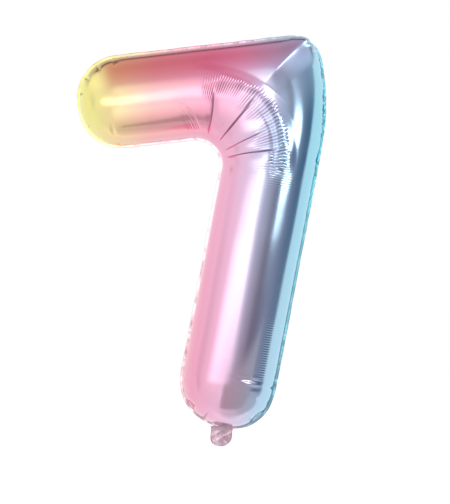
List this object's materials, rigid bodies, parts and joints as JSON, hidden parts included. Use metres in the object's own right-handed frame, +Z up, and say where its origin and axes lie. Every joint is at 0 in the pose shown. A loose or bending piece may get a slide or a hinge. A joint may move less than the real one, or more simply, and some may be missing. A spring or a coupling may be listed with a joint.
{
  "type": "foil number balloon",
  "caption": "Inflated metallised foil balloon in the shape of the numeral seven, with a sealed rim, a flat tail and a self-sealing film valve.",
  "frame": {"origin": "middle of the tail's root, on the outer edge of the perimeter seal at the bottom of the leg", "axes": "+Z up, as the balloon floats; +X to the right seen from the front; the front panel faces -Y"},
  "size_m": [0.4479, 0.1672, 0.7379],
  "materials": {
    "front_foil": "metallised film, mirror bright, printed with a gradient from yellow by rose and mauve to light blue",
    "back_foil": "metallised film, mirror bright, same gradient as the front",
    "seal_margin": "two metallised films fused flat, faintly crimped",
    "tail_foil": "metallised film, slightly see-through, wrinkled",
    "valve_film": "thin clear polyethylene",
    "release_ink": "heat-proof ink"
  },
  "bodies": {
    "envelope": {"front_panel": "front_foil", "back_panel": "back_foil", "perimeter_heat_seal": "seal_margin", "valve_neck_front_film": "valve_film", "valve_neck_back_film": "valve_film", "valve_release_print": "release_ink"},
    "tail": {"tail_front_film": "tail_foil", "tail_back_film": "tail_foil", "tail_edge_seals": "seal_margin", "valve_mouth_front_film": "valve_film", "valve_mouth_back_film": "valve_film"},
    "valve_tongue": {"valve_tongue_front_film": "valve_film", "valve_tongue_back_film": "valve_film", "valve_edge_welds": "valve_film"}
  },
  "joints": [
    {"name": "tail_fold", "type": "hinge", "parent": "envelope", "child": "tail", "pos_m": [0, 0, -0.0015], "axis": [1, 0, 0], "range_deg": [-95, 95]},
    {"name": "valve_tongue_swing", "type": "hinge", "parent": "envelope", "child": "valve_tongue", "pos_m": [0, 0, 0.011], "axis": [1, 0, 0], "range_deg": [-25, 25], "stiffness_Nm_per_rad": 0.002}
  ]
}
